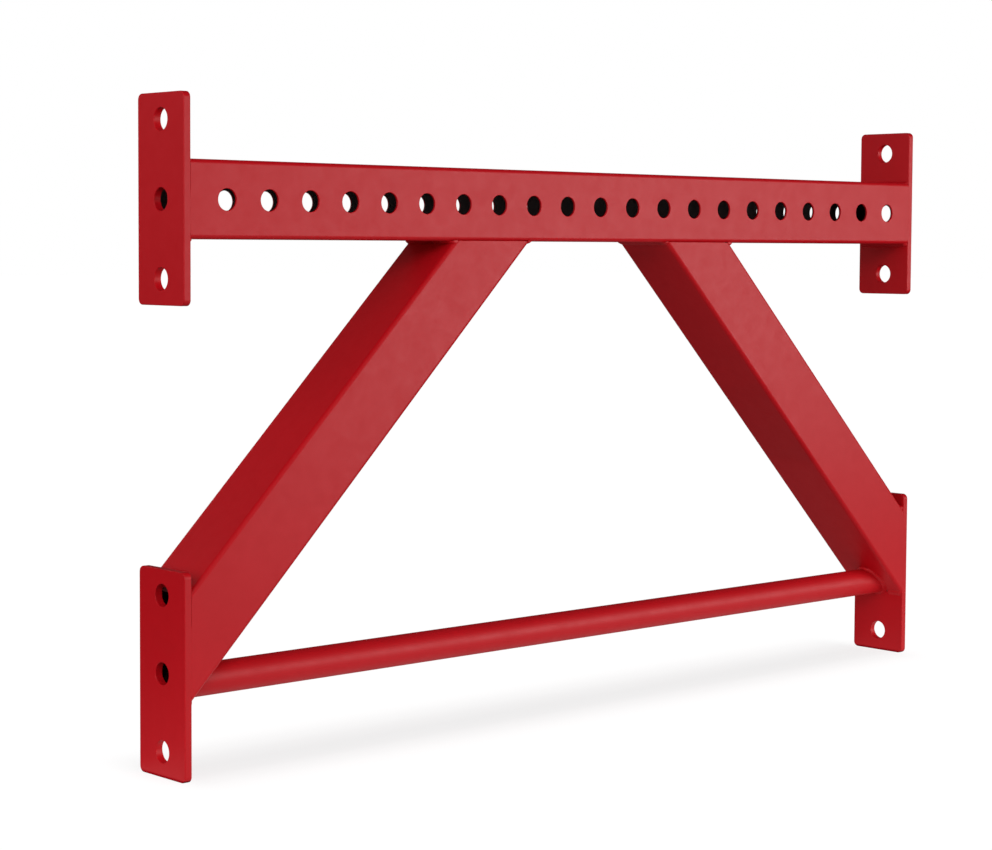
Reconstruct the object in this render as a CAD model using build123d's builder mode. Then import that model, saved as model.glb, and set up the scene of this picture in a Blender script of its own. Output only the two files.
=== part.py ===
from build123d import *
from math import sqrt, sin, cos, radians
import os

# Pull-up cross-member for a training rig: a welded, powder-coated steel frame.
#
# Frame: millimetres, +Z up, +X to the right along the beam, -Y is the front.
# Origin: middle of the length and depth, at the height of the lower plates' bottom edges.
#
# The left half is modelled and the right half is its mirror image about X = 0.

os.makedirs("parts", exist_ok=True)

# ---------------------------------------------------------------- dimensions
overall_length = 1100.0      # over the outer faces of the end plates
overall_height = 650.0       # bottom of the lower plates to top of the upper plates

# square tube shared by the beam and both braces
tube = 75.0
wall = 3.0
tube_r = 4.5                 # outside corner radius, 1.5 x wall
tube_ri = 1.5                # inside corner radius

# end plates, all four alike
plate_t = 8.0
plate_w = 75.0
plate_h = 200.0
plate_corner_r = 6.0
plate_edge_r = 0.8           # rounding of the plate's face edges
bolt_hole_r = 11.0           # clearance for M20
bolt_pitch = 75.0            # three holes on the centre line
rim_r = 0.5                  # rounding of hole rims

# accessory holes in the beam
hole_count = 21
hole_pitch = 50.0
hole_r = 10.5

# brace geometry
brace_foot_mid = 128.5       # height of the brace's centre line where it meets the plate

# round grip bar
bar_d = 32.0
bar_wall = 3.0
bar_z = 89.0                 # height of the bar's axis

# welds
leg_top = 2.5                # fillet on top of the beam
leg_under = 4.5              # fillet under the beam
leg_acute = 8.0              # bead in the 45 degree corners
leg_obtuse = 4.6             # bead in the 135 degree corners
leg_bar = 5.0                # saddle bead round the bar's end
seam = 1.6                   # depth of the flush corner seams
weld_half = 34.0             # beads stop just short of the tube's rounded corners

# ---------------------------------------------------------------- derived
inner_x = overall_length / 2 - plate_t       # inner faces of the plates, 542
outer_x = overall_length / 2                 # outer faces of the plates, 550
upper_z = overall_height - plate_h / 2       # centre of the upper plates and of the beam, 550
lower_z = plate_h / 2                        # centre of the lower plates, 100
beam_under = upper_z - tube / 2              # underside of the beam, 512.5
beam_top = upper_z + tube / 2
half = tube / 2
mitre = tube * sqrt(2) / 2                   # half the length of a 45 degree mitre cut
foot_low = brace_foot_mid - mitre            # lower tip of the brace on the plate
foot_high = brace_foot_mid + mitre           # upper tip of the brace on the plate
head_out = -inner_x + (beam_under - foot_high)   # outer end of the head's mitre, left brace
head_in = -inner_x + (beam_under - foot_low)     # inner end of the head's mitre, left brace
bar_r = bar_d / 2
s2 = 1 / sqrt(2)

# plane across the left brace, its normal along the tube, up and to the right
brace_plane = Plane(
    origin=(-inner_x - 80, 0, brace_foot_mid - 80), x_dir=(0, 1, 0), z_dir=(1, 0, 1)
)
# plane of the left brace's underside, centred where the bar's axis meets it
saddle_plane = Plane(
    origin=(-inner_x + bar_z - foot_low, 0, bar_z), x_dir=(0, 1, 0), z_dir=(1, 0, -1)
)


# ---------------------------------------------------------------- top beam
with BuildPart() as top_beam:
    with BuildSketch(Plane.YZ.offset(-inner_x)):
        with Locations((0, upper_z)):
            RectangleRounded(tube, tube, tube_r)
            RectangleRounded(tube - 2 * wall, tube - 2 * wall, tube_ri, mode=Mode.SUBTRACT)
    extrude(amount=2 * inner_x)
    # cross holes through the front and the back wall
    with BuildSketch(Plane.XZ.offset(half + 1)):
        with Locations((0, upper_z)):
            with GridLocations(hole_pitch, 1, hole_count, 1):
                Circle(hole_r)
    extrude(amount=-(tube + 2), mode=Mode.SUBTRACT)
    # softened rims on the outside
    rims = top_beam.edges().filter_by(GeomType.CIRCLE).filter_by(lambda e: abs(e.radius - hole_r) < 0.01)
    fillet(rims.group_by(Axis.Y)[0] + rims.group_by(Axis.Y)[-1], rim_r)
    # grooves for the flush seams at both ends, front and back
    with BuildSketch(Plane.XY.offset(beam_under - 1)):
        for sx in (-1, 1):
            for sy in (-1, 1):
                with BuildLine():
                    Polyline(
                        (sx * inner_x, sy * (half - seam)),
                        (sx * (inner_x - seam), sy * half),
                        (sx * (inner_x - seam), sy * (half + 1)),
                        (sx * (inner_x + 1), sy * (half + 1)),
                        (sx * (inner_x + 1), sy * (half - seam)),
                        close=True,
                    )
                make_face()
    extrude(amount=tube + 2, mode=Mode.SUBTRACT)
top_beam.part.label = "top_beam"
export_step(top_beam.part, "parts/top_beam.step")


# ---------------------------------------------------------------- end plates
with BuildPart() as upper_left_plate:
    with BuildSketch(Plane.YZ.offset(-outer_x)):
        with Locations((0, upper_z)):
            RectangleRounded(plate_w, plate_h, plate_corner_r)
            with GridLocations(1, bolt_pitch, 1, 3):
                Circle(bolt_hole_r, mode=Mode.SUBTRACT)
    extrude(amount=plate_t)
    flats = upper_left_plate.faces().filter_by(Axis.X)
    rims = flats.edges().filter_by(GeomType.CIRCLE).filter_by(lambda e: abs(e.radius - bolt_hole_r) < 0.01)
    fillet(rims, rim_r)
    flats = upper_left_plate.faces().filter_by(Axis.X).sort_by(Axis.X)
    outline = flats[0].outer_wire().edges() + flats[-1].outer_wire().edges()
    fillet(outline, plate_edge_r)
upper_left_plate.part.label = "upper_left_plate"
export_step(upper_left_plate.part, "parts/upper_left_plate.step")

with BuildPart() as upper_right_plate:
    mirror(upper_left_plate.part, about=Plane.YZ)
upper_right_plate.part.label = "upper_right_plate"
export_step(upper_right_plate.part, "parts/upper_right_plate.step")

with BuildPart() as lower_left_plate:
    with BuildSketch(Plane.YZ.offset(-outer_x)):
        with Locations((0, lower_z)):
            RectangleRounded(plate_w, plate_h, plate_corner_r)
            with GridLocations(1, bolt_pitch, 1, 3):
                Circle(bolt_hole_r, mode=Mode.SUBTRACT)
    extrude(amount=plate_t)
    flats = lower_left_plate.faces().filter_by(Axis.X)
    rims = flats.edges().filter_by(GeomType.CIRCLE).filter_by(lambda e: abs(e.radius - bolt_hole_r) < 0.01)
    fillet(rims, rim_r)
    flats = lower_left_plate.faces().filter_by(Axis.X).sort_by(Axis.X)
    outline = flats[0].outer_wire().edges() + flats[-1].outer_wire().edges()
    fillet(outline, plate_edge_r)
lower_left_plate.part.label = "lower_left_plate"
export_step(lower_left_plate.part, "parts/lower_left_plate.step")

with BuildPart() as lower_right_plate:
    mirror(lower_left_plate.part, about=Plane.YZ)
lower_right_plate.part.label = "lower_right_plate"
export_step(lower_right_plate.part, "parts/lower_right_plate.step")


# ---------------------------------------------------------------- braces
with BuildPart() as left_brace:
    with BuildSketch(brace_plane):
        RectangleRounded(tube, tube, tube_r)
        RectangleRounded(tube - 2 * wall, tube - 2 * wall, tube_ri, mode=Mode.SUBTRACT)
    extrude(amount=800)
    # mitred upright against the plate and level against the beam
    split(bisect_by=Plane.YZ.offset(-inner_x), keep=Keep.TOP)
    split(bisect_by=Plane.XY.offset(beam_under), keep=Keep.BOTTOM)
    # grooves for the flush seams against the plate, front and back
    with BuildSketch(Plane.XY.offset(foot_low - 2)):
        for sy in (-1, 1):
            with BuildLine():
                Polyline(
                    (-inner_x, sy * (half - seam)),
                    (-inner_x + seam, sy * half),
                    (-inner_x + seam, sy * (half + 1)),
                    (-inner_x - 1, sy * (half + 1)),
                    (-inner_x - 1, sy * (half - seam)),
                    close=True,
                )
            make_face()
    extrude(amount=2 * mitre + 4, mode=Mode.SUBTRACT)
left_brace.part.label = "left_brace"
export_step(left_brace.part, "parts/left_brace.step")

with BuildPart() as right_brace:
    mirror(left_brace.part, about=Plane.YZ)
right_brace.part.label = "right_brace"
export_step(right_brace.part, "parts/right_brace.step")


# ---------------------------------------------------------------- grip bar
with BuildPart() as pull_up_bar:
    with BuildSketch(Plane.YZ.offset(-inner_x)):
        with Locations((0, bar_z)):
            Circle(bar_r)
            Circle(bar_r - bar_wall, mode=Mode.SUBTRACT)
    extrude(amount=2 * inner_x)
    # coped to the undersides of the two braces
    with BuildSketch(Plane.XZ):
        for sx in (-1, 1):
            with BuildLine():
                Polyline(
                    (sx * inner_x, foot_low),
                    (sx * (inner_x - 80), foot_low + 80),
                    (sx * inner_x, foot_low + 80),
                    close=True,
                )
            make_face()
    extrude(amount=bar_r + 5, both=True, mode=Mode.SUBTRACT)
pull_up_bar.part.label = "pull_up_bar"
export_step(pull_up_bar.part, "parts/pull_up_bar.step")


# ---------------------------------------------------------------- welds: beam to plate
with BuildPart() as upper_left_top_weld:
    with BuildSketch(Plane.XZ):
        with BuildLine():
            Line((-inner_x, beam_top), (-inner_x + leg_top, beam_top))
            ThreePointArc(
                (-inner_x + leg_top, beam_top),
                (-inner_x + 0.4 * leg_top, beam_top + 0.4 * leg_top),
                (-inner_x, beam_top + leg_top),
            )
            Line((-inner_x, beam_top + leg_top), (-inner_x, beam_top))
        make_face()
    extrude(amount=weld_half, both=True)
upper_left_top_weld.part.label = "upper_left_top_weld"
export_step(upper_left_top_weld.part, "parts/upper_left_top_weld.step")

with BuildPart() as upper_left_under_weld:
    with BuildSketch(Plane.XZ):
        with BuildLine():
            Line((-inner_x, beam_under), (-inner_x + leg_under, beam_under))
            ThreePointArc(
                (-inner_x + leg_under, beam_under),
                (-inner_x + 0.36 * leg_under, beam_under - 0.36 * leg_under),
                (-inner_x, beam_under - leg_under),
            )
            Line((-inner_x, beam_under - leg_under), (-inner_x, beam_under))
        make_face()
    extrude(amount=weld_half, both=True)
upper_left_under_weld.part.label = "upper_left_under_weld"
export_step(upper_left_under_weld.part, "parts/upper_left_under_weld.step")

with BuildPart() as upper_left_seam_weld:
    # front and back seams, dressed flush with the tube
    with BuildSketch(Plane.XY.offset(beam_under)):
        for sy in (-1, 1):
            with BuildLine():
                Polyline(
                    (-inner_x, sy * (half - seam)),
                    (-inner_x + seam, sy * half),
                    (-inner_x, sy * half),
                    close=True,
                )
            make_face()
    extrude(amount=tube)
    with BuildSketch(Plane.YZ.offset(-inner_x)):
        with Locations((0, upper_z)):
            RectangleRounded(tube, tube, tube_r)
    extrude(amount=seam, mode=Mode.INTERSECT)
upper_left_seam_weld.part.label = "upper_left_seam_weld"
export_step(upper_left_seam_weld.part, "parts/upper_left_seam_weld.step")

with BuildPart() as upper_right_top_weld:
    mirror(upper_left_top_weld.part, about=Plane.YZ)
upper_right_top_weld.part.label = "upper_right_top_weld"
export_step(upper_right_top_weld.part, "parts/upper_right_top_weld.step")

with BuildPart() as upper_right_under_weld:
    mirror(upper_left_under_weld.part, about=Plane.YZ)
upper_right_under_weld.part.label = "upper_right_under_weld"
export_step(upper_right_under_weld.part, "parts/upper_right_under_weld.step")

with BuildPart() as upper_right_seam_weld:
    mirror(upper_left_seam_weld.part, about=Plane.YZ)
upper_right_seam_weld.part.label = "upper_right_seam_weld"
export_step(upper_right_seam_weld.part, "parts/upper_right_seam_weld.step")


# ---------------------------------------------------------------- welds: brace head to beam
with BuildPart() as left_head_outer_weld:
    # acute corner between the beam's underside and the brace's upper face
    with BuildSketch(Plane.XZ):
        with BuildLine():
            Line((head_out, beam_under), (head_out - leg_acute, beam_under))
            ThreePointArc(
                (head_out - leg_acute, beam_under),
                (head_out - 0.74 * leg_acute, beam_under - 0.32 * leg_acute),
                (head_out - 0.75 * leg_acute, beam_under - 0.75 * leg_acute),
            )
            Line((head_out - 0.75 * leg_acute, beam_under - 0.75 * leg_acute), (head_out, beam_under))
        make_face()
    extrude(amount=weld_half, both=True)
left_head_outer_weld.part.label = "left_head_outer_weld"
export_step(left_head_outer_weld.part, "parts/left_head_outer_weld.step")

with BuildPart() as left_head_inner_weld:
    # obtuse corner between the beam's underside and the brace's lower face
    with BuildSketch(Plane.XZ):
        with BuildLine():
            Line((head_in, beam_under), (head_in + leg_obtuse, beam_under))
            ThreePointArc(
                (head_in + leg_obtuse, beam_under),
                (head_in + 0.25 * leg_obtuse, beam_under - 0.22 * leg_obtuse),
                (head_in - s2 * leg_obtuse, beam_under - s2 * leg_obtuse),
            )
            Line((head_in - s2 * leg_obtuse, beam_under - s2 * leg_obtuse), (head_in, beam_under))
        make_face()
    extrude(amount=weld_half, both=True)
left_head_inner_weld.part.label = "left_head_inner_weld"
export_step(left_head_inner_weld.part, "parts/left_head_inner_weld.step")

with BuildPart() as left_head_seam_weld:
    # flare grooves between the beam's rounded lower corners and the brace's side walls
    with BuildSketch(Plane.YZ.offset(head_out + 4)):
        for sy in (-1, 1):
            with BuildLine():
                ThreePointArc(
                    (sy * (half - tube_r), beam_under),
                    (
                        sy * (half - tube_r + tube_r * sin(radians(24))),
                        beam_under + tube_r * (1 - cos(radians(24))),
                    ),
                    (
                        sy * (half - tube_r + tube_r * sin(radians(48))),
                        beam_under + tube_r * (1 - cos(radians(48))),
                    ),
                )
                Polyline(
                    (
                        sy * (half - tube_r + tube_r * sin(radians(48))),
                        beam_under + tube_r * (1 - cos(radians(48))),
                    ),
                    (sy * (half - 0.7), beam_under),
                    (sy * (half - tube_r), beam_under),
                )
            make_face()
    extrude(amount=2 * mitre - 8)
left_head_seam_weld.part.label = "left_head_seam_weld"
export_step(left_head_seam_weld.part, "parts/left_head_seam_weld.step")

with BuildPart() as right_head_outer_weld:
    mirror(left_head_outer_weld.part, about=Plane.YZ)
right_head_outer_weld.part.label = "right_head_outer_weld"
export_step(right_head_outer_weld.part, "parts/right_head_outer_weld.step")

with BuildPart() as right_head_inner_weld:
    mirror(left_head_inner_weld.part, about=Plane.YZ)
right_head_inner_weld.part.label = "right_head_inner_weld"
export_step(right_head_inner_weld.part, "parts/right_head_inner_weld.step")

with BuildPart() as right_head_seam_weld:
    mirror(left_head_seam_weld.part, about=Plane.YZ)
right_head_seam_weld.part.label = "right_head_seam_weld"
export_step(right_head_seam_weld.part, "parts/right_head_seam_weld.step")


# ---------------------------------------------------------------- welds: bar ends
with BuildPart() as left_bar_weld:
    # saddle bead between the bar, the brace's underside and the plate
    with BuildSketch(saddle_plane):
        Ellipse(bar_r + leg_bar, (bar_r + leg_bar) * sqrt(2))
    with BuildSketch(saddle_plane.offset(leg_bar)):
        with Locations((0, leg_bar)):
            Ellipse(bar_r + 0.4, (bar_r + 0.4) * sqrt(2))
    loft(ruled=True)
    with BuildSketch(Plane.YZ.offset(-inner_x - 40)):
        with Locations((0, bar_z)):
            Circle(bar_r)
    extrude(amount=120, mode=Mode.SUBTRACT)
    split(bisect_by=Plane.YZ.offset(-inner_x), keep=Keep.TOP)
left_bar_weld.part.label = "left_bar_weld"
export_step(left_bar_weld.part, "parts/left_bar_weld.step")

with BuildPart() as right_bar_weld:
    mirror(left_bar_weld.part, about=Plane.YZ)
right_bar_weld.part.label = "right_bar_weld"
export_step(right_bar_weld.part, "parts/right_bar_weld.step")


# ---------------------------------------------------------------- welds: brace foot to plate
with BuildPart() as left_foot_upper_weld:
    # acute corner between the plate's inner face and the brace's upper face
    with BuildSketch(Plane.XZ):
        with BuildLine():
            Line((-inner_x, foot_high), (-inner_x, foot_high + leg_acute))
            ThreePointArc(
                (-inner_x, foot_high + leg_acute),
                (-inner_x + 0.32 * leg_acute, foot_high + 0.74 * leg_acute),
                (-inner_x + 0.75 * leg_acute, foot_high + 0.75 * leg_acute),
            )
            Line((-inner_x + 0.75 * leg_acute, foot_high + 0.75 * leg_acute), (-inner_x, foot_high))
        make_face()
    extrude(amount=weld_half, both=True)
left_foot_upper_weld.part.label = "left_foot_upper_weld"
export_step(left_foot_upper_weld.part, "parts/left_foot_upper_weld.step")

with BuildPart() as left_foot_lower_weld:
    # obtuse corner under the brace's tip, one run each side of the bar's bead
    with BuildSketch(Plane.XZ):
        with BuildLine():
            Line((-inner_x, foot_low), (-inner_x, foot_low - leg_obtuse))
            ThreePointArc(
                (-inner_x, foot_low - leg_obtuse),
                (-inner_x + 0.22 * leg_obtuse, foot_low - 0.25 * leg_obtuse),
                (-inner_x + s2 * leg_obtuse, foot_low + s2 * leg_obtuse),
            )
            Line((-inner_x + s2 * leg_obtuse, foot_low + s2 * leg_obtuse), (-inner_x, foot_low))
        make_face()
    extrude(amount=weld_half, both=True)
    with BuildSketch(Plane.XZ):
        with Locations((-inner_x, foot_low)):
            Rectangle(40, 40)
    extrude(amount=13, both=True, mode=Mode.SUBTRACT)
    add(left_bar_weld.part, mode=Mode.SUBTRACT)
    with BuildSketch(Plane.YZ.offset(-inner_x - 40)):
        with Locations((0, bar_z)):
            Circle(bar_r)
    extrude(amount=120, mode=Mode.SUBTRACT)
left_foot_lower_weld.part.label = "left_foot_lower_weld"
export_step(left_foot_lower_weld.part, "parts/left_foot_lower_weld.step")

with BuildPart() as left_foot_seam_weld:
    # front and back seams, dressed flush with the brace
    with BuildSketch(Plane.XY.offset(foot_low - 2)):
        for sy in (-1, 1):
            with BuildLine():
                Polyline(
                    (-inner_x, sy * (half - seam)),
                    (-inner_x + seam, sy * half),
                    (-inner_x, sy * half),
                    close=True,
                )
            make_face()
    extrude(amount=2 * mitre + 4)
    with BuildSketch(brace_plane):
        RectangleRounded(tube, tube, tube_r)
    extrude(amount=300, mode=Mode.INTERSECT)
left_foot_seam_weld.part.label = "left_foot_seam_weld"
export_step(left_foot_seam_weld.part, "parts/left_foot_seam_weld.step")

with BuildPart() as right_foot_upper_weld:
    mirror(left_foot_upper_weld.part, about=Plane.YZ)
right_foot_upper_weld.part.label = "right_foot_upper_weld"
export_step(right_foot_upper_weld.part, "parts/right_foot_upper_weld.step")

with BuildPart() as right_foot_lower_weld:
    mirror(left_foot_lower_weld.part, about=Plane.YZ)
right_foot_lower_weld.part.label = "right_foot_lower_weld"
export_step(right_foot_lower_weld.part, "parts/right_foot_lower_weld.step")

with BuildPart() as right_foot_seam_weld:
    mirror(left_foot_seam_weld.part, about=Plane.YZ)
right_foot_seam_weld.part.label = "right_foot_seam_weld"
export_step(right_foot_seam_weld.part, "parts/right_foot_seam_weld.step")
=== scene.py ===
import math

import bmesh
import bpy
from mathutils import Matrix, Vector


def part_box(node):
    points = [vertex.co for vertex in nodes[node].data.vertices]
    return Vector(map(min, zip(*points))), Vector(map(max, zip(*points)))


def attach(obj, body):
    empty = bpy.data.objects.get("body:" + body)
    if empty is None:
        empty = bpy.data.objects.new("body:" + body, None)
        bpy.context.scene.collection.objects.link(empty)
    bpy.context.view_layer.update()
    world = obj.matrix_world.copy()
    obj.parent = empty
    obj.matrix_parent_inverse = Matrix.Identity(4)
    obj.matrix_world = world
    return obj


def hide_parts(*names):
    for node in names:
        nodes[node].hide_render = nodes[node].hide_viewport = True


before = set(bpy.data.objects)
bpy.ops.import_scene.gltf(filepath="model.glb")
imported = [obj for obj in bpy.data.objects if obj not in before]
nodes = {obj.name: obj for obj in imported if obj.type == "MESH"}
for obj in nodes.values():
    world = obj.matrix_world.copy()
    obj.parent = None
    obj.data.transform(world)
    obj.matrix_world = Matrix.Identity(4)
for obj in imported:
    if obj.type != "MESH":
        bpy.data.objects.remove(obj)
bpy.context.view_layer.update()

scene = bpy.context.scene

# ------------------------------------------------------------------ camera
FOCAL_PX = 2333.24
CX, CY = 467.92, 382.67
YAW, PITCH, ROLL = (math.radians(a) for a in (42.1408, -3.3539, 0.2758))
EYE = Vector((-1.81028, -1.82434, 0.50743))

fwd = Vector((math.sin(YAW) * math.cos(PITCH), math.cos(YAW) * math.cos(PITCH), math.sin(PITCH)))
right = Vector((math.cos(YAW), -math.sin(YAW), 0.0))
up = right.cross(fwd)
r2 = right * math.cos(ROLL) + up * math.sin(ROLL)
u2 = -right * math.sin(ROLL) + up * math.cos(ROLL)

cam_data = bpy.data.cameras.new("camera")
cam_data.sensor_width = 36.0
cam_data.sensor_fit = "HORIZONTAL"
cam_data.lens = FOCAL_PX / 992 * 36.0
cam_data.shift_x = (496 - CX) / 992
cam_data.shift_y = (CY - 425) / 992
cam_data.clip_start = 0.05
cam_data.clip_end = 200
camera = bpy.data.objects.new("camera", cam_data)
scene.collection.objects.link(camera)
m = Matrix((r2, u2, -fwd)).transposed().to_4x4()
m.translation = EYE
camera.matrix_world = m
scene.camera = camera

scene.view_settings.view_transform = "Standard"
scene.view_settings.look = "None"
scene.view_settings.exposure = 0
scene.view_settings.gamma = 1


# ------------------------------------------------------------------ finishes
class Graph:
    """Short hands for building one material's nodes, all in object space, in metres."""

    def __init__(self, name):
        self.mat = bpy.data.materials.new(name)
        self.mat.use_nodes = True
        self.nt = self.mat.node_tree
        self.bsdf = self.nt.nodes["Principled BSDF"]
        self.coord = self.nt.nodes.new("ShaderNodeTexCoord").outputs["Object"]

    def set(self, socket, value):
        if hasattr(value, "links") or isinstance(value, bpy.types.NodeSocket):
            self.nt.links.new(value, socket)
        else:
            socket.default_value = value

    def noise(self, scale, detail=2.0, roughness=0.5, distortion=0.0):
        n = self.nt.nodes.new("ShaderNodeTexNoise")
        n.noise_dimensions = "3D"
        n.inputs["Scale"].default_value = scale
        n.inputs["Detail"].default_value = detail
        n.inputs["Roughness"].default_value = roughness
        n.inputs["Distortion"].default_value = distortion
        self.nt.links.new(self.coord, n.inputs["Vector"])
        return n.outputs[0]

    def math(self, op, a, b=0.0, c=0.0):
        n = self.nt.nodes.new("ShaderNodeMath")
        n.operation = op
        for socket, value in zip(n.inputs, (a, b, c)):
            self.set(socket, value)
        return n.outputs[0]

    def vector(self, op, a, b, out=0):
        n = self.nt.nodes.new("ShaderNodeVectorMath")
        n.operation = op
        self.set(n.inputs[0], a)
        self.set(n.inputs[1], b)
        return n.outputs[out]

    def span(self, value, low, high, to_low, to_high, smooth=False):
        n = self.nt.nodes.new("ShaderNodeMapRange")
        n.interpolation_type = "SMOOTHSTEP" if smooth else "LINEAR"
        for key, v in zip(("Value", "From Min", "From Max", "To Min", "To Max"), (value, low, high, to_low, to_high)):
            self.set(n.inputs[key], v)
        return n.outputs["Result"]

    def mix(self, factor, a, b):
        n = self.nt.nodes.new("ShaderNodeMix")
        n.data_type = "RGBA"
        self.set(n.inputs[0], factor)
        self.set(n.inputs[6], a)
        self.set(n.inputs[7], b)
        return n.outputs[2]


def powder_coat(name, bare_and_shade=(), matte=0.0, shine=1.0):
    """Red polyester powder over steel: a slow drift of tone, finer cloudiness, a fine speckle, and orange peel in the
    gloss. The second argument lists boxes (centre, ((axis, half size), ...)) inside the tubes, which the powder doesn't
    reach: there the colour is bare mill scale, kept near black with a red tint as painted shade of the hollow insides.
    matte adds to the roughness, shine scales the strength of the gloss."""
    g = Graph(name)
    drift = g.noise(9.0, 2.0, 0.5, 0.3)            # tone over 10 cm
    cloud = g.noise(58.0, 3.0, 0.55, 0.4)          # film thickness over 10 to 20 mm
    speck = g.noise(1300.0, 2.0, 0.6)              # pigment and grain, under 1 mm
    tone = g.mix(g.span(drift, 0.32, 0.68, 0.0, 1.0), TONE_A, TONE_B)
    tone = g.mix(g.span(cloud, 0.35, 0.70, 0.0, 0.55), tone, TONE_C)
    tone = g.mix(g.span(speck, 0.42, 0.80, 0.0, 0.42), tone, TONE_D)
    rough = g.math("ADD", g.span(cloud, 0.3, 0.7, 0.385 + matte, 0.440 + matte), g.span(g.noise(210.0, 2.0), 0.3, 0.7, -0.018, 0.018))
    # heights in metres: slow film waves, orange peel, grain
    wave = g.math("MULTIPLY", g.noise(62.0, 1.0, 0.4), 46e-6)
    peel = g.math("MULTIPLY", g.noise(390.0, 1.5, 0.45), 22e-6)
    grain = g.math("MULTIPLY", g.noise(1500.0, 1.0, 0.5), 3.8e-6)
    height = g.math("ADD", g.math("ADD", wave, peel), grain)
    if bare_and_shade:
        ragged = g.span(g.noise(420.0, 3.0, 0.6), 0.25, 0.75, -0.012, 0.012)
        inside = None
        for centre, axes in bare_and_shade:
            local = g.vector("SUBTRACT", g.coord, centre)
            far = None
            for axis, half in axes:
                d = g.vector("DOT_PRODUCT", local, tuple(a / half for a in axis), out=1)
                d = g.math("ABSOLUTE", d)
                far = d if far is None else g.math("MAXIMUM", far, d)
            here = g.span(g.math("ADD", far, ragged), 0.985, 1.015, 1.0, 0.0, smooth=True)
            inside = here if inside is None else g.math("MAXIMUM", inside, here)
        # near-black, red-tinted tone in the boxes: bare mill scale, darkened as painted shade inside the tubes
        scale_and_shade_tone = g.mix(g.span(g.noise(130.0, 4.0, 0.65), 0.3, 0.7, 0.0, 1.0), (0.022, 0.0035, 0.0040, 1), (0.040, 0.0080, 0.0080, 1))
        tone = g.mix(inside, tone, scale_and_shade_tone)
        rough = g.math("MULTIPLY_ADD", inside, 0.16, rough)
        height = g.math("MULTIPLY_ADD", g.math("MULTIPLY", inside, g.noise(700.0, 3.0, 0.6)), 25e-6, height)
    bump = g.nt.nodes.new("ShaderNodeBump")
    bump.inputs["Strength"].default_value = 1.0
    bump.inputs["Distance"].default_value = 1.0
    g.nt.links.new(height, bump.inputs["Height"])
    g.nt.links.new(bump.outputs[0], g.bsdf.inputs["Normal"])
    g.nt.links.new(tone, g.bsdf.inputs["Base Color"])
    g.nt.links.new(rough, g.bsdf.inputs["Roughness"])
    g.bsdf.inputs["Specular IOR Level"].default_value = GLOSS * shine
    return g.mat


TONE_A = (0.600, 0.0035, 0.0100, 1)
TONE_B = (0.622, 0.0050, 0.0120, 1)
TONE_C = (0.575, 0.0030, 0.0085, 1)
TONE_D = (0.500, 0.0060, 0.0100, 1)
GLOSS = 0.211
S2 = math.sqrt(0.5)

beam_low, beam_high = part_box("top_beam")
X_IN = beam_high.x                          # inner faces of the end plates
Z_BEAM = (beam_low.z + beam_high.z) / 2
UNDER, TOP = beam_low.z, beam_high.z        # underside and top of the beam
HALF = (beam_high.z - beam_low.z) / 2       # half the tube, 37.5 mm
TUBE_R = 0.0045                             # its outside corner radius
brace_low, brace_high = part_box("left_brace")
FOOT_LOW = brace_low.z
FOOT_HIGH = FOOT_LOW + 2 * HALF / S2
HEAD_OUT = X_IN - (UNDER - FOOT_HIGH)       # the mitred head, as distances from the middle
HEAD_IN = X_IN - (UNDER - FOOT_LOW)
bar_low, bar_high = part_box("pull_up_bar")
BAR_R = (bar_high.y - bar_low.y) / 2
Z_BAR = (bar_low.z + bar_high.z) / 2

INSIDE = 0.0357                             # the powder reaches 1.8 mm into the hole walls
Y1, Z1, X1 = (0, 1, 0), (0, 0, 1), (1, 0, 0)
coat = powder_coat("red_powder_coat")
# the beam's hollow inside, past the coated hole walls, is coloured as dark bare steel: painted shade where little light
# gets in
coat_beam = powder_coat("red_powder_coat_beam", [((0, 0, Z_BEAM), ((Y1, INSIDE), (Z1, INSIDE)))])
finish_of = {"top_beam": coat_beam, "pull_up_bar": powder_coat("red_powder_coat_bar", matte=0.09, shine=1.35)}
for side, s in (("left", -1), ("right", 1)):
    # each upper plate's inner face within the beam is coloured as dark bare steel, which paints in the shade inside the
    # tube
    finish_of["upper_%s_plate" % side] = powder_coat(
        "red_powder_coat_%s_plate" % side,
        [((s * X_IN, 0, Z_BEAM), ((X1, 0.0006), (Y1, 0.0346), (Z1, 0.0346)))],
    )
    finish_of["%s_brace" % side] = powder_coat(
        "red_powder_coat_%s_brace" % side,
        [
            # the brace's hollow inside, coloured as dark bare steel: painted shade
            ((s * X_IN, 0, (FOOT_LOW + FOOT_HIGH) / 2), ((Y1, 0.0352), ((-s * S2, 0, -S2) if s > 0 else (S2, 0, -S2), 0.0352))),
            # a thin slab at the plate's inner face: the brace wall's cut end, seen through the plate's hole, is
            # coloured dark as painted shade
            ((s * X_IN, 0, (FOOT_LOW + FOOT_HIGH) / 2), ((X1, 0.0008), (Y1, 0.030))),
        ],
    )
weld_coat = powder_coat("red_weld_coat")
for name, o in nodes.items():
    o.data.materials.clear()
    o.data.materials.append(weld_coat if name.endswith("_weld") else finish_of.get(name, coat))


# ------------------------------------------------------------------ weld beads
def wander(s, seed):
    """A smooth wobble between about -1 and 1 along a weld, the same on each run."""
    return (
        0.50 * math.sin(s * 2 * math.pi / 0.0071 + seed * 1.7)
        + 0.30 * math.sin(s * 2 * math.pi / 0.0163 + seed * 4.1)
        + 0.20 * math.sin(s * 2 * math.pi / 0.0047 + seed * 2.9)
    )


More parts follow.
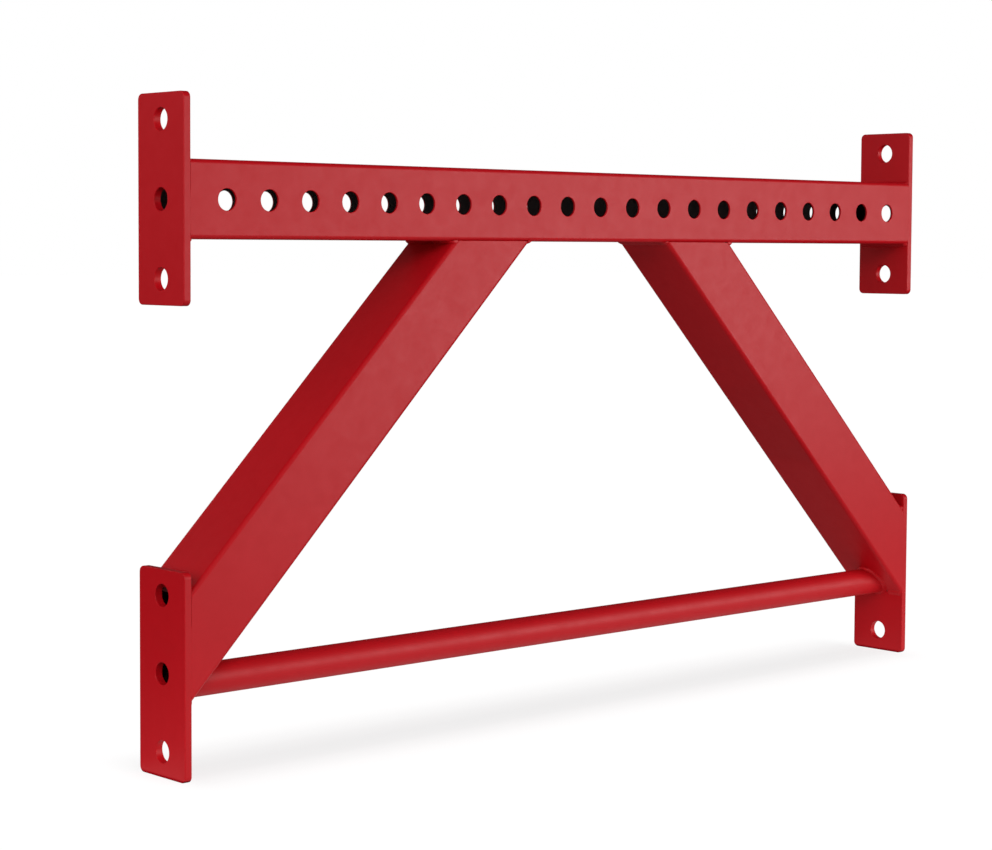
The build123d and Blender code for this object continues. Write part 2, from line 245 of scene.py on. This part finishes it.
def bead(bm, stations, seed=0.0, pitch=0.0023, ripple=0.00017, crown=0.14, across=12, ends=0.0022, closed=False):
    """One run of weld along a corner. Each station is (root, a, b, leg_a, leg_b): the corner, the two directions that
    lie on the joined surfaces, and the legs along them. The face is crowned and rippled, and the toes sink in."""
    n = len(stations)
    length = [0.0]
    for i in range(1, n):
        length.append(length[-1] + (stations[i][0] - stations[i - 1][0]).length)
    total = length[-1]
    if closed:
        total += (stations[0][0] - stations[-1][0]).length
        pitch = total / max(1, round(total / pitch))
    rings = []
    for i, (root, a, b, leg_a, leg_b) in enumerate(stations):
        s = length[i]
        shrink = 1.0
        if not closed:
            d = min(s, total - s)
            if d < ends:
                shrink = max(0.10, math.sqrt(max(0.0, 1 - (1 - d / ends) ** 2)))
        wob = 0.0 if closed else wander(s, seed)
        if closed:
            t = 2 * math.pi * s / total
            wob = 0.5 * math.sin(3 * t + seed) + 0.3 * math.sin(7 * t + 2 * seed) + 0.2 * math.sin(11 * t)
        la = leg_a * shrink * (1 + 0.07 * wob)
        lb = leg_b * shrink * (1 - 0.05 * wob)
        na = (b - a * a.dot(b)).normalized()
        nb = (a - b * a.dot(b)).normalized()
        out = (na + nb).normalized()
        ring = [root + a * (la + 0.00022 * shrink) - na * 0.00012]
        for k in range(across + 1):
            u = k / across
            p = root + a * (la * (1 - u)) + b * (lb * u)
            hump = math.sin(math.pi * u)
            curve = 0.35 * (2 * u - 1) ** 2
            phase = 2 * math.pi * (s / pitch + curve)
            if not closed:
                phase += 0.5 * wander(s * 0.7, seed + 3)
            comb = (0.5 + 0.5 * math.cos(phase)) ** 1.6 - 0.42
            lift = crown * (1 + 0.12 * wob) * 0.5 * (la + lb) * hump + ripple * comb * hump ** 0.6 * min(1.0, shrink * 1.2)
            ring.append(p + out * lift)
        ring.append(root + b * (lb + 0.00022 * shrink) - nb * 0.00012)
        ring.append(root - out * 0.00035)
        for p in ring:                                       # dressed flush with the tube's front and back
            p.y = max(-HALF + 0.00004, min(HALF - 0.00004, p.y))
        rings.append([bm.verts.new(p) for p in ring])
    m = len(rings[0])
    for i in range(n if closed else n - 1):
        r0, r1 = rings[i], rings[(i + 1) % n]
        for k in range(m):
            f = bm.faces.new((r0[k], r0[(k + 1) % m], r1[(k + 1) % m], r1[k]))
            f.smooth = True
    if not closed:
        for ring in (rings[0], rings[-1]):
            c = bm.verts.new(sum((v.co for v in ring), Vector()) / m)
            for k in range(m):
                bm.faces.new((ring[k], ring[(k + 1) % m], c)).smooth = True


def weld(name, runs, replaced, side=-1):
    """A piece of weld metal from its runs. The runs are laid out on the left; side 1 mirrors them to the right."""
    bm = bmesh.new()
    for stations, options in runs:
        if side > 0:
            stations = [(Vector((-r.x, r.y, r.z)), Vector((-a.x, a.y, a.z)), Vector((-b.x, b.y, b.z)), la, lb) for r, a, b, la, lb in stations]
        bead(bm, stations, **options)
    bmesh.ops.recalc_face_normals(bm, faces=bm.faces)
    mesh = bpy.data.meshes.new(name)
    bm.to_mesh(mesh)
    bm.free()
    mesh.materials.append(weld_coat)
    o = bpy.data.objects.new(name, mesh)
    scene.collection.objects.link(o)
    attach(o, "root")
    if replaced:
        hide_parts(replaced)
    return o


STEP = 0.00038


def lerp(a, b, t):
    return a + (b - a) * t


def knots(table, t):
    """A value from a small table of (place, value), eased between them."""
    if t <= table[0][0]:
        return table[0][1]
    for (t0, v0), (t1, v1) in zip(table, table[1:]):
        if t <= t1:
            u = (t - t0) / (t1 - t0)
            return lerp(v0, v1, u * u * (3 - 2 * u))
    return table[-1][1]


def corner_path(start, end, wrap_start, wrap_end, stretch=1.0):
    """Places along one side of a rounded tube outline, in (inset, y, angle): the flat from y = start to end, and the
    corner arcs that it runs on to. stretch is how much a mitre lengthens the corner."""
    flat = HALF - TUBE_R
    out = []
    if wrap_start > 0:
        k = max(2, int(TUBE_R * wrap_start / STEP))
        for i in range(k):
            out.append(-wrap_start * (1 - i / k))
        s0 = -flat
    else:
        s0 = start
    path = [(TUBE_R * stretch * (1 - math.cos(p)), -flat + TUBE_R * math.sin(p), p) for p in out]
    s1 = flat if wrap_end > 0 else end
    k = max(2, int((s1 - s0) / STEP))
    path += [(0.0, lerp(s0, s1, i / k), 0.0) for i in range(k + 1)]
    if wrap_end > 0:
        k = max(2, int(TUBE_R * wrap_end / STEP))
        for i in range(1, k + 1):
            p = wrap_end * i / k
            path.append((TUBE_R * stretch * (1 - math.cos(p)), flat + TUBE_R * math.sin(p), p))
    return path


def beam_end_run(up, legs_plate, legs_beam, wrap=(0.75, 0.75)):
    """The fillet on top of (up = 1) or under (up = -1) the beam against the plate, run on round the tube's corners."""
    flat = HALF - TUBE_R
    stations = []
    for inset, y, p in corner_path(-flat, flat, *wrap):
        n = Vector((0, math.sin(p), up * math.cos(p)))
        root = Vector((-X_IN, y, Z_BEAM + up * (HALF - inset)))
        fade = 1 - 0.62 * min(1.0, abs(p) / 0.8)
        room = max(0.0006, HALF - 0.0009 - abs(y)) / max(0.05, abs(math.sin(p))) if abs(p) > 0.02 else 1.0
        stations.append((root, n, Vector((1, 0, 0)), min(knots(legs_plate, y) * fade, room), knots(legs_beam, y) * fade))
    return stations


def head_run(outer, legs_beam, legs_brace, start, end, wrap=(0.0, 0.0)):
    """The bead between the beam's underside and the brace's head, in the acute (outer) or obtuse corner."""
    s = -1 if outer else 1
    x0 = -HEAD_OUT if outer else -HEAD_IN
    stations = []
    path = corner_path(start, end, *wrap, stretch=1 / S2)
    for inset, y, p in path:
        rise = 0.0
        over = abs(y) - (HALF - TUBE_R)
        if over > 0:
            rise = TUBE_R - math.sqrt(max(0.0, TUBE_R ** 2 - over ** 2))
        root = Vector((x0 - s * inset, y, UNDER + 0.35 * rise))
        surface = Vector((s * S2 * math.cos(p), math.sin(p), -s * S2 * math.cos(p))) if not outer else Vector((-S2 * math.cos(p), math.sin(p), S2 * math.cos(p)))
        tangent = Vector((-s * TUBE_R / S2 * math.sin(p), TUBE_R * math.cos(p), 0)).normalized()
        a = tangent.cross(Vector((0, 0, 1)))
        if a.x * s < 0:
            a = -a
        b = tangent.cross(surface).normalized()
        if b.z > 0:
            b = -b
        fade = 1 - 0.45 * min(1.0, abs(p) / 0.9)
        stations.append((root, a, b, knots(legs_beam, y) * fade, knots(legs_brace, y) * fade))
    return stations


def foot_run(upper, legs_plate, legs_brace, start, end, wrap=(0.0, 0.0)):
    """The bead between the plate and the brace's foot, in the acute (upper) or obtuse corner."""
    s = 1 if upper else -1
    z0 = FOOT_HIGH if upper else FOOT_LOW
    stations = []
    for inset, y, p in corner_path(start, end, *wrap, stretch=1 / S2):
        root = Vector((-X_IN, y, z0 - s * inset))
        surface = Vector((-s * S2 * math.cos(p), math.sin(p), s * S2 * math.cos(p)))
        tangent = Vector((0, TUBE_R * math.cos(p), -s * TUBE_R / S2 * math.sin(p))).normalized()
        a = tangent.cross(Vector((1, 0, 0)))
        if a.z * s < 0:
            a = -a
        b = tangent.cross(surface).normalized()
        if b.x < 0:
            b = -b
        fade = 1 - 0.55 * min(1.0, abs(p) / 0.8)
        room = max(0.0005, HALF - 0.0009 - abs(y)) / max(0.05, abs(a.y)) if abs(p) > 0.02 else 1.0
        stations.append((root, a, b, min(knots(legs_plate, y) * fade, room), knots(legs_brace, y) * fade))
    return stations


def saddle_run(leg_bar, leg_flat):
    """The bead round the bar's end, on the brace's underside and, at the bottom, on the plate."""
    def point(t):
        z = Z_BAR + BAR_R * math.cos(t)
        d = z - FOOT_LOW
        x = -X_IN + 0.5 * (d + math.sqrt(d * d + 0.0016 ** 2))
        return Vector((x, BAR_R * math.sin(t), z))

    stations = []
    n = 300
    for i in range(n):
        t = 2 * math.pi * i / n
        root = point(t)
        tangent = (point(t + 0.01) - point(t - 0.01)).normalized()
        radial = Vector((0, math.sin(t), math.cos(t)))
        d = root.z - FOOT_LOW
        w = 0.5 + 0.5 * d / math.sqrt(d * d + 0.0016 ** 2)          # 1 on the brace, 0 on the plate
        flat_n = Vector((1, 0, -w)).normalized()
        a = tangent.cross(radial).normalized()
        if a.dot(flat_n) < 0:
            a = -a
        b = tangent.cross(flat_n).normalized()
        if b.dot(radial) < 0:
            b = -b
        stations.append((root, a, b, knots(leg_bar, root.z - Z_BAR), knots(leg_flat, root.z - Z_BAR)))
    return stations


def flare_run(front, depth, x_from, x_to):
    """The seam in the groove between the beam's rounded lower corner and the brace's square-cut end."""
    stations = []
    k = int((x_to - x_from) / STEP)
    cy, cz = front * (HALF - TUBE_R), UNDER + TUBE_R
    for i in range(k + 1):
        x = lerp(x_from, x_to, i / k)
        root = Vector((x, cy + front * 0.0006, UNDER + 0.0001))
        reach = HALF - depth - (HALF - TUBE_R) - 0.0006
        p = math.asin(min(0.98, (reach + 0.0006 - 0.0003) / TUBE_R))
        on_arc = Vector((x, cy + front * TUBE_R * math.sin(p), cz - TUBE_R * math.cos(p)))
        b = (on_arc - root)
        leg_b = b.length
        stations.append((root, Vector((0, front, 0)), b.normalized(), reach, leg_b))
    return stations


def seam_cap(bm, front, plate_x, inward, z_from, z_to, fade_low, fade_high, seed):
    """Weld metal and powder that close the small groove between a tube's flush seam and the plate's rounded edge."""
    n = int((z_to - z_from) / 0.0006)
    rings = []
    for i in range(n + 1):
        z = lerp(z_from, z_to, i / n)
        low = min(1.0, (z - z_from) / max(1e-6, fade_low))
        high = min(1.0, (z_to - z) / max(1e-6, fade_high))
        keep = min(low, high)
        keep = keep * keep * (3 - 2 * keep)
        sink = 0.00004 + 0.00003 * (1 + wander(z, seed)) + 0.00065 * (1 - keep)
        y = front * (HALF - sink)
        yy = front * (HALF - 0.0011)
        ring = [
            Vector((plate_x + inward * 0.0008, yy, z)),
            Vector((plate_x + inward * 0.0007, y - front * 0.00008, z)),
            Vector((plate_x + inward * 0.0002, y, z)),
            Vector((plate_x - inward * 0.0004, y, z)),
            Vector((plate_x - inward * 0.0009, y + front * 0.00001, z)),
            Vector((plate_x - inward * 0.0012, y - front * 0.00008, z)),
            Vector((plate_x - inward * 0.0011, yy, z)),
        ]
        rings.append([bm.verts.new(p) for p in ring])
    m = len(rings[0])
    for r0, r1 in zip(rings, rings[1:]):
        for k in range(m):
            bm.faces.new((r0[k], r0[(k + 1) % m], r1[(k + 1) % m], r1[k]))
    bm.faces.new(rings[0])
    bm.faces.new(rings[-1])


mm = 0.001


def flat(v):
    return [(0.0, v * mm)]


for name, side in (("left", -1), ("right", 1)):
    k = 1.0 if side < 0 else 2.0
    low = 4.6 if side < 0 else 3.4
    weld("upper_%s_top_bead" % name, [(beam_end_run(1, flat(2.4), flat(2.4), (0.8, 0.8)), dict(seed=1 * k, ends=1.6 * mm))], "upper_%s_top_weld" % name, side)
    weld("upper_%s_under_bead" % name, [(beam_end_run(-1, flat(4.2), flat(4.2), (0.85, 0.85)), dict(seed=2.3 * k))], "upper_%s_under_weld" % name, side)
    # the acute corner under the beam is welded from both edges, and dips in the middle
    weld(
        "%s_head_outer_bead" % name,
        [(
            head_run(True, [(-30 * mm, 6.0 * mm), (-9 * mm, 5.2 * mm), (-2 * mm, 2.4 * mm), (5 * mm, 2.4 * mm), (13 * mm, 5.6 * mm), (30 * mm, 6.2 * mm)],
                     [(-30 * mm, 4.8 * mm), (-9 * mm, 4.2 * mm), (-2 * mm, 2.0 * mm), (5 * mm, 2.0 * mm), (13 * mm, 4.4 * mm), (30 * mm, 4.8 * mm)], 0, 0, (1.1, 1.1)),
            dict(seed=3.1 * k, crown=0.10),
        )],
        "%s_head_outer_weld" % name, side,
    )
    weld("%s_head_inner_bead" % name, [(head_run(False, flat(4.6), flat(4.6), 0, 0, (1.1, 1.1)), dict(seed=4.7 * k, crown=0.10))], "%s_head_inner_weld" % name, side)
    weld(
        "%s_foot_upper_bead" % name,
        [(foot_run(True, flat(4.6), flat(6.0), -31 * mm, 31 * mm, (0.0, 0.0) if side < 0 else (0.8, 0.5)), dict(seed=5.9 * k, crown=0.10, ends=3.2 * mm))],
        "%s_foot_upper_weld" % name, side,
    )
    weld(
        "%s_foot_lower_bead" % name,
        [
            (foot_run(False, flat(low), flat(low), -31 * mm, -15.5 * mm, (0.95, 0.0)), dict(seed=6.3 * k, crown=0.10)),
            (foot_run(False, flat(low), flat(low), 15.5 * mm, 31 * mm, (0.0, 0.95)), dict(seed=7.7 * k, crown=0.10)),
        ],
        "%s_foot_lower_weld" % name, side,
    )
    weld("%s_bar_bead" % name, [(saddle_run(flat(3.0), flat(3.2)), dict(seed=8.1 * k, crown=0.10, ripple=0.00013, closed=True))], "%s_bar_weld" % name, side)
    weld(
        "%s_head_seam_bead" % name,
        [
            (flare_run(front, 2.5 * mm, -HEAD_OUT + 5.2 * mm, -HEAD_IN - 5.2 * mm), dict(seed=9.3 * k + front, ripple=0.00010, crown=-0.05))
            for front in (-1, 1)
        ],
        "%s_head_seam_weld" % name, side,
    )
    # flush seams: the first 20 mm or so on the left shows a fine line, the rest is filled
    bm = bmesh.new()
    s = side
    top_gap = 0.0205 if side < 0 else 0.003
    for front in (-1, 1):
        seam_cap(bm, front, s * X_IN, -s, UNDER + 3.4 * mm, TOP - 3.4 * mm - top_gap, 2 * mm, 9 * mm if side < 0 else 2 * mm, 1.3 * k + front)
        seam_cap(bm, front, s * X_IN, -s, FOOT_LOW + 5 * mm, FOOT_HIGH - 5 * mm - (top_gap if front < 0 else 0.003), 2 * mm, 9 * mm if side < 0 else 2 * mm, 2.7 * k + front)
    bmesh.ops.recalc_face_normals(bm, faces=bm.faces)
    mesh = bpy.data.meshes.new("%s_seam_caps" % name)
    bm.to_mesh(mesh)
    bm.free()
    mesh.materials.append(weld_coat)
    o = bpy.data.objects.new("%s_seam_caps" % name, mesh)
    scene.collection.objects.link(o)
    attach(o, "root")

# ------------------------------------------------------------------ floor and light
# name: (azimuth from the front, elevation, distance, width, height, radiance)
RIG = {
    "front_high": (8, 20, 3.2, 1.2, 1.0, 1.00),
    "front_top": (-15, 50, 3.2, 1.4, 1.4, 0.80),
    "key_low": (30, 1, 3.2, 1.2, 0.55, 1.04),
    "key": (30, 12, 3.2, 1.2, 0.6, 6.40),
    "right_low": (50, 1, 3.2, 1.2, 0.55, 6.32),
    "right": (50, 12, 3.2, 1.2, 0.6, 3.36),
    "skim": (35, -3, 3.2, 1.2, 0.30, 9.60),
    "fill_camera": (-42, 22, 4.0, 1.6, 1.2, 5.92),
    "left_low": (-80, 4, 3.2, 1.8, 0.9, 2.30),
    "left": (-80, 24, 3.2, 1.8, 1.2, 2.24),
    "left_rear_low": (-100, 8, 3.2, 1.4, 1.2, 0.80),
    "left_rear": (-125, 15, 3.2, 1.8, 1.8, 0.52),
    "rear": (175, 30, 3.2, 2.5, 2.5, 0.04),
    "rear_low": (178, 8, 4.0, 1.8, 1.2, 3.00),
}
WORLD_DIM = 0.04
FLOOR_TONE = 0.2
# overhead sources for the soft shadow: (lean towards the front, apparent size, both in degrees, how much white it takes)
OVERHEAD = {
    "overhead_rear": (-3.5, 6.0, 0.053),
    "overhead": (0.0, 6.0, 0.086),
    "overhead_lean": (3.5, 6.0, 0.061),
    "overhead_front": (7.0, 6.0, 0.051),
}

AIM = Vector((0, 0, 0.33))
lamps = []
for name, (az, el, dist, w, h, radiance) in RIG.items():
    a, e = math.radians(az), math.radians(el)
    d = Vector((math.sin(a) * math.cos(e), -math.cos(a) * math.cos(e), math.sin(e)))
    data = bpy.data.lights.new(name, "AREA")
    data.shape = "RECTANGLE"
    data.size, data.size_y = w, h
    data.energy = radiance * math.pi * w * h
    lamp = bpy.data.objects.new(name, data)
    scene.collection.objects.link(lamp)
    lamp.location = AIM + d * dist
    lamp.rotation_euler = (-d).to_track_quat("-Z", "Y").to_euler()
    lamp.visible_camera = False
    lamps.append(lamp)

# light that a pale floor throws back up: centre x, y, width, depth, radiance
PATCHES = {
    "bounce_front": (-0.2, -1.3, 1.2, 1.8, 0.42),
    "bounce_left": (-1.6, -0.6, 1.4, 2.4, 0.042),
    "bounce_under": (0.0, 0.0, 1.6, 0.6, 0.20),
    "bounce_middle": (0.0, 0.0, 0.48, 0.6, 0.22),
    "bounce_near": (0.0, -0.17, 1.6, 0.44, 0.33),
    "bounce_rear": (0.0, 0.65, 1.6, 0.7, 0.11),
}
for name, (px, py, w, h, radiance) in PATCHES.items():
    data = bpy.data.lights.new(name, "AREA")
    data.shape = "RECTANGLE"
    data.size, data.size_y = w, h
    data.energy = radiance * math.pi * w * h
    lamp = bpy.data.objects.new(name, data)
    scene.collection.objects.link(lamp)
    lamp.location = (px, py, 0.002)
    lamp.rotation_euler = (math.pi, 0, 0)
    lamp.visible_camera = False
    lamps.append(lamp)

# A large pale floor, brighter than the picture's white point but for the object's soft shadow. Only the camera sees its
# own light: what the floor throws back on to the object is the bounce lamps above.
bpy.ops.mesh.primitive_plane_add(size=60, location=(0, 0, 0))
floor = bpy.context.object
floor.name = "floor"
fm = bpy.data.materials.new("floor_white")
fm.use_nodes = True
nt = fm.node_tree
nt.nodes.clear()
out = nt.nodes.new("ShaderNodeOutputMaterial")
dark = nt.nodes.new("ShaderNodeBsdfDiffuse")
dark.inputs["Color"].default_value = (0, 0, 0, 1)
dif = nt.nodes.new("ShaderNodeBsdfDiffuse")
dif.inputs["Color"].default_value = (FLOOR_TONE, FLOOR_TONE, FLOOR_TONE, 1)
glow = nt.nodes.new("ShaderNodeEmission")
glow.inputs["Strength"].default_value = 1.010 - sum(depth for _, _, depth in OVERHEAD.values())
add = nt.nodes.new("ShaderNodeAddShader")
nt.links.new(dif.outputs[0], add.inputs[0])
nt.links.new(glow.outputs[0], add.inputs[1])
lp = nt.nodes.new("ShaderNodeLightPath")
mix = nt.nodes.new("ShaderNodeMixShader")
nt.links.new(lp.outputs["Is Camera Ray"], mix.inputs[0])
nt.links.new(dark.outputs[0], mix.inputs[1])
nt.links.new(add.outputs[0], mix.inputs[2])
nt.links.new(mix.outputs[0], out.inputs["Surface"])
floor.data.materials.append(fm)

# The studio lamps leave the floor alone, and overhead suns that light only the floor draw the soft shadow. The photo's
# shadow is the beam's alone: no darker line from the bar and none where the lower plates stand.
no_floor = bpy.data.collections.new("all_but_floor")
no_floor.objects.link(floor)
no_floor.collection_objects[0].light_linking.link_state = "EXCLUDE"
for lamp in lamps:
    lamp.light_linking.receiver_collection = no_floor
only_floor = bpy.data.collections.new("floor_only")
only_floor.objects.link(floor)
high_pieces = bpy.data.collections.new("high_pieces")
for name in ("top_beam", "upper_left_plate", "upper_right_plate"):
    high_pieces.objects.link(nodes[name])
for name, (lean, size, depth) in OVERHEAD.items():
    data = bpy.data.lights.new(name, "SUN")
    data.energy = depth * math.pi / FLOOR_TONE
    data.angle = math.radians(size)
    sun = bpy.data.objects.new(name, data)
    scene.collection.objects.link(sun)
    sun.location = (0, 0, 4.0)
    sun.rotation_euler = (math.radians(lean), 0, 0)
    sun.light_linking.receiver_collection = only_floor
    sun.light_linking.blocker_collection = high_pieces

world = bpy.data.worlds.new("world")
scene.world = world
world.use_nodes = True
nt = world.node_tree
nt.nodes.clear()
wout = nt.nodes.new("ShaderNodeOutputWorld")
lp = nt.nodes.new("ShaderNodeLightPath")
mix = nt.nodes.new("ShaderNodeMixShader")
dim = nt.nodes.new("ShaderNodeBackground")
dim.inputs["Color"].default_value = (1, 1, 1, 1)
dim.inputs["Strength"].default_value = WORLD_DIM
seen = nt.nodes.new("ShaderNodeBackground")
seen.inputs["Color"].default_value = (1, 1, 1, 1)
seen.inputs["Strength"].default_value = 1.0
nt.links.new(lp.outputs["Is Camera Ray"], mix.inputs[0])
nt.links.new(dim.outputs[0], mix.inputs[1])
nt.links.new(seen.outputs[0], mix.inputs[2])
nt.links.new(mix.outputs[0], wout.inputs["Surface"])
